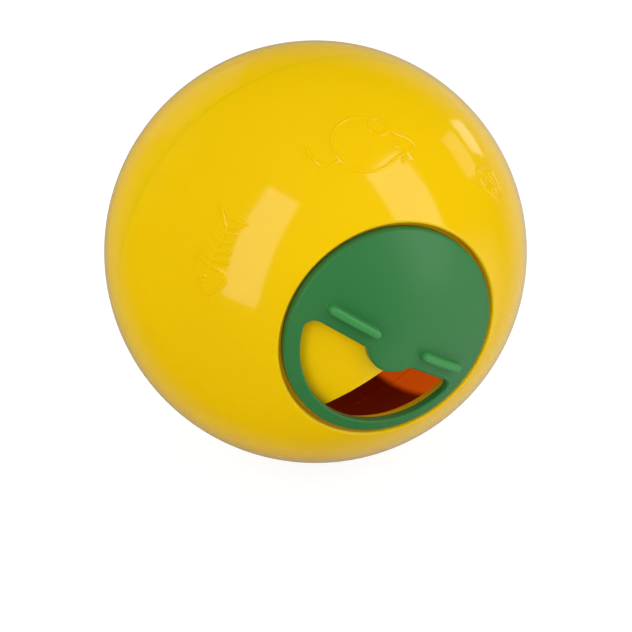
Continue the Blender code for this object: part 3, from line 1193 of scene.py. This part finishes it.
def build_studio_sheen():
    """How pale the studio looks in the gloss, from the direction in which a ray goes."""
    outputs = [("Behind", "NodeSocketFloat"), ("Sheen", "NodeSocketFloat")]
    group = new_group("studio_sheen", [("Ray", "NodeSocketVector", (0.0, 0.0, 0.0))], outputs)
    entry = group.nodes.new("NodeGroupInput")
    leave = group.nodes.new("NodeGroupOutput")
    ray = entry.outputs["Ray"]
    behind = add_ramp(group, add_dot(group, ray, -camera_back), BEHIND_START, BEHIND_FULL)
    side = add_ramp(group, add_dot(group, ray, camera_right), SIDE_LEFT, SIDE_RIGHT)
    sheen = group.nodes.new("ShaderNodeMath")
    sheen.operation = "MULTIPLY"
    group.links.new(behind, sheen.inputs[0])
    group.links.new(add_map(group, side, SHEEN_LEFT, SHEEN_RIGHT), sheen.inputs[1])
    low = add_dot(group, ray, seen_from_camera(LOW_RIGHT))
    card = add_ramp(group, low, LOW_RIGHT_START, LOW_RIGHT_FULL)
    total = group.nodes.new("ShaderNodeMath")
    total.operation = "ADD"
    group.links.new(sheen.outputs["Value"], total.inputs[0])
    group.links.new(add_map(group, card, 0.0, LOW_RIGHT_SHEEN), total.inputs[1])
    group.links.new(behind, leave.inputs["Behind"])
    group.links.new(total.outputs["Value"], leave.inputs["Sheen"])
    return group


studio_sheen = build_studio_sheen()


def add_studio_sheen(tree, ray):
    """Add the group to a material and tell it the ray's direction."""
    node = tree.nodes.new("ShaderNodeGroup")
    node.node_tree = studio_sheen
    tree.links.new(ray, node.inputs["Ray"])
    return node


def add_floor():
    """A pale floor under the ball, which each kind of ray sees in its own tone."""
    deselect_all()
    bpy.ops.mesh.primitive_plane_add(size=FLOOR_SIZE)
    floor = bpy.context.object
    floor.name = "floor"
    material = bpy.data.materials.new("pale_floor")
    material.use_nodes = True
    tree = material.node_tree
    tree.nodes.clear()
    output = tree.nodes.new("ShaderNodeOutputMaterial")
    path = tree.nodes.new("ShaderNodeLightPath")
    glow = tree.nodes.new("ShaderNodeEmission")
    glow.inputs["Strength"].default_value = FLOOR_GLOW
    shown = tree.nodes.new("ShaderNodeAddShader")
    tree.links.new(add_matte(tree, FLOOR_TO_CAMERA), shown.inputs[0])
    tree.links.new(glow.outputs["Emission"], shown.inputs[1])
    sheen = tree.nodes.new("ShaderNodeEmission")
    geometry = tree.nodes.new("ShaderNodeNewGeometry")
    onward = tree.nodes.new("ShaderNodeVectorMath")
    onward.operation = "SCALE"
    onward.inputs["Scale"].default_value = -1.0
    tree.links.new(geometry.outputs["Incoming"], onward.inputs[0])
    studio = add_studio_sheen(tree, onward.outputs["Vector"])
    tree.links.new(studio.outputs["Sheen"], sheen.inputs["Strength"])
    matte = add_matte(tree, FLOOR_TO_LIGHT)
    unseen = blend(tree, path.outputs["Is Glossy Ray"], matte, sheen.outputs["Emission"])
    surface = blend(tree, path.outputs["Is Camera Ray"], unseen, shown.outputs["Shader"])
    tree.links.new(surface, output.inputs["Surface"])
    floor.data.materials.append(material)
    return floor


add_floor()


def build_world():
    """White to the camera, grey to light, and to gloss as pale as the studio sheen says."""
    world = bpy.data.worlds.new("studio")
    bpy.context.scene.world = world
    world.use_nodes = True
    tree = world.node_tree
    tree.nodes.clear()
    output = tree.nodes.new("ShaderNodeOutputWorld")
    path = tree.nodes.new("ShaderNodeLightPath")
    background = tree.nodes.new("ShaderNodeBackground")
    place = tree.nodes.new("ShaderNodeTexCoord")
    studio = add_studio_sheen(tree, place.outputs["Generated"])
    light = add_map(tree, studio.outputs["Behind"], WORLD_LIGHT_FRONT, WORLD_LIGHT_BEHIND)
    unseen = tree.nodes.new("ShaderNodeMix")
    tree.links.new(path.outputs["Is Diffuse Ray"], unseen.inputs["Factor"])
    tree.links.new(studio.outputs["Sheen"], unseen.inputs["A"])
    tree.links.new(light, unseen.inputs["B"])
    seen = tree.nodes.new("ShaderNodeMix")
    tree.links.new(path.outputs["Is Camera Ray"], seen.inputs["Factor"])
    tree.links.new(unseen.outputs["Result"], seen.inputs["A"])
    seen.inputs["B"].default_value = WORLD_TO_CAMERA
    tree.links.new(seen.outputs["Result"], background.inputs["Strength"])
    tree.links.new(background.outputs["Background"], output.inputs["Surface"])


build_world()
bpy.context.scene.view_settings.view_transform = "Standard"
